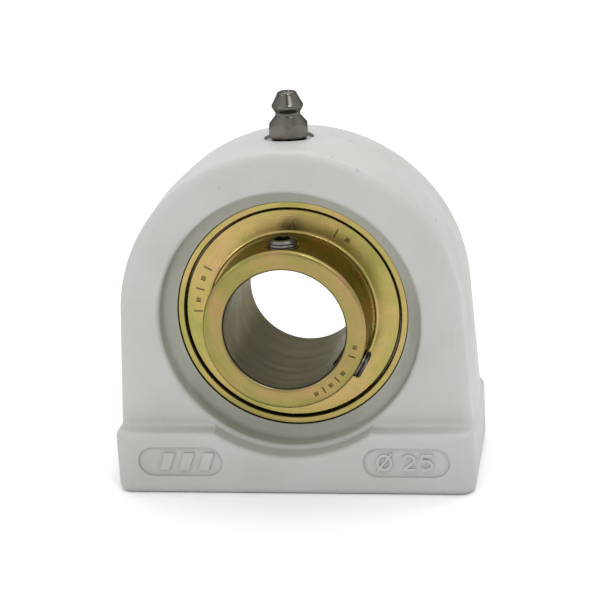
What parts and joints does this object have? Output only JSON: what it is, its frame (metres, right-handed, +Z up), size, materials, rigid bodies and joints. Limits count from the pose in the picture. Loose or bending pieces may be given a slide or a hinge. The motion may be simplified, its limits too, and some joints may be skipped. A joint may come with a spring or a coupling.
{
  "type": "tapped-base pillow block ball bearing",
  "caption": "Arched moulded tapped-base bearing block holding a self-aligning set-screw insert ball bearing, with a grease nipple on top.",
  "frame": {"origin": "middle of the flat mounting base, directly below the shaft centre", "axes": "+Z up from the base towards the grease nipple, shaft axis along Y with the set-screw end facing -Y, +X to the right seen from the set-screw end"},
  "size_m": [0.076, 0.0388, 0.0822],
  "materials": {
    "housing_plastic": "off-white moulded thermoplastic polyester, satin",
    "insert_steel": "plated steel",
    "nipple_steel": "nickel-plated steel",
    "ball_steel": "polished bearing steel",
    "spring_steel": "bright spring wire",
    "zinc_steel": "yellow chromate zinc plating with a faint iridescence",
    "ring_steel": "yellow chromate zinc outside, bare ground bore",
    "seal_core_steel": "pressed steel",
    "seal_rubber": "black nitrile rubber",
    "cage_steel": "pressed steel",
    "screw_steel": "dark oxide steel, worn bright at the rim"
  },
  "bodies": {
    "block": {"housing": "housing_plastic", "base_insert_left": "insert_steel", "base_insert_right": "insert_steel", "grease_nipple": "nipple_steel"},
    "check": {"nipple_check_ball": "ball_steel", "nipple_spring": "spring_steel"},
    "stop": {"stop_ball": "ball_steel"},
    "outer": {"outer_ring": "zinc_steel", "front_seal_core": "seal_core_steel", "back_seal_core": "seal_core_steel", "front_seal_lip": "seal_rubber", "back_seal_lip": "seal_rubber"},
    "inner": {"inner_ring": "ring_steel", "front_slinger": "zinc_steel", "back_slinger": "zinc_steel"},
    "cage": {"front_cage_half": "cage_steel", "back_cage_half": "cage_steel", "cage_rivets": "cage_steel"},
    "roller_1": {"ball_1": "ball_steel"},
    "roller_2": {"ball_2": "ball_steel"},
    "roller_3": {"ball_3": "ball_steel"},
    "roller_4": {"ball_4": "ball_steel"},
    "roller_5": {"ball_5": "ball_steel"},
    "roller_6": {"ball_6": "ball_steel"},
    "roller_7": {"ball_7": "ball_steel"},
    "roller_8": {"ball_8": "ball_steel"},
    "roller_9": {"ball_9": "ball_steel"},
    "screw_top": {"set_screw_top": "screw_steel"},
    "screw_side": {"set_screw_side": "screw_steel"}
  },
  "joints": [
    {"name": "align_pitch", "type": "hinge", "parent": "block", "child": "stop", "pos_m": [0, 0, 0.0365], "axis": [1, 0, 0], "range_deg": [-3, 3]},
    {"name": "align_yaw", "type": "hinge", "parent": "stop", "child": "outer", "pos_m": [0, 0, 0.0365], "axis": [0, 0, 1], "range_deg": [-3, 3]},
    {"name": "shaft_turn", "type": "hinge", "parent": "outer", "child": "inner", "pos_m": [0, 0, 0.0365], "axis": [0, 1, 0], "continuous": true},
    {"name": "cage_turn", "type": "hinge", "parent": "outer", "child": "cage", "pos_m": [0, 0, 0.0365], "axis": [0, 1, 0], "continuous": true},
    {"name": "ball_spin_1", "type": "hinge", "parent": "cage", "child": "roller_1", "pos_m": [-0.00667, 0, 0.05482], "axis": [0, 1, 0], "continuous": true},
    {"name": "ball_spin_2", "type": "hinge", "parent": "cage", "child": "roller_2", "pos_m": [-0.01689, 0, 0.04625], "axis": [0, 1, 0], "continuous": true},
    {"name": "ball_spin_3", "type": "hinge", "parent": "cage", "child": "roller_3", "pos_m": [-0.0192, 0, 0.03311], "axis": [0, 1, 0], "continuous": true},
    {"name": "ball_spin_4", "type": "hinge", "parent": "cage", "child": "roller_4", "pos_m": [-0.01253, 0, 0.02156], "axis": [0, 1, 0], "continuous": true},
    {"name": "ball_spin_5", "type": "hinge", "parent": "cage", "child": "roller_5", "pos_m": [0, 0, 0.017], "axis": [0, 1, 0], "continuous": true},
    {"name": "ball_spin_6", "type": "hinge", "parent": "cage", "child": "roller_6", "pos_m": [0.01253, 0, 0.02156], "axis": [0, 1, 0], "continuous": true},
    {"name": "ball_spin_7", "type": "hinge", "parent": "cage", "child": "roller_7", "pos_m": [0.0192, 0, 0.03311], "axis": [0, 1, 0], "continuous": true},
    {"name": "ball_spin_8", "type": "hinge", "parent": "cage", "child": "roller_8", "pos_m": [0.01689, 0, 0.04625], "axis": [0, 1, 0], "continuous": true},
    {"name": "ball_spin_9", "type": "hinge", "parent": "cage", "child": "roller_9", "pos_m": [0.00667, 0, 0.05482], "axis": [0, 1, 0], "continuous": true},
    {"name": "screw_top_travel", "type": "slide", "parent": "inner", "child": "screw_top", "axis": [0, 0, 1], "range_m": [-0.0008, 0.004]},
    {"name": "screw_side_travel", "type": "slide", "parent": "inner", "child": "screw_side", "axis": [0.866, 0, -0.5], "range_m": [-0.0008, 0.004]},
    {"name": "nipple_valve", "type": "slide", "parent": "block", "child": "check", "axis": [0, 0, -1], "range_m": [0, 0.001], "stiffness_N_per_m": 200, "springref_m": -0.002, "deforming": ["nipple_spring"]}
  ],
  "couplings": [
    {"joint": "cage_turn", "follows": "shaft_turn", "ratio": 0.39823},
    {"joint": "ball_spin_1", "follows": "shaft_turn", "ratio": -2.3548},
    {"joint": "ball_spin_2", "follows": "shaft_turn", "ratio": -2.3548},
    {"joint": "ball_spin_3", "follows": "shaft_turn", "ratio": -2.3548},
    {"joint": "ball_spin_4", "follows": "shaft_turn", "ratio": -2.3548},
    {"joint": "ball_spin_5", "follows": "shaft_turn", "ratio": -2.3548},
    {"joint": "ball_spin_6", "follows": "shaft_turn", "ratio": -2.3548},
    {"joint": "ball_spin_7", "follows": "shaft_turn", "ratio": -2.3548},
    {"joint": "ball_spin_8", "follows": "shaft_turn", "ratio": -2.3548},
    {"joint": "ball_spin_9", "follows": "shaft_turn", "ratio": -2.3548}
  ]
}
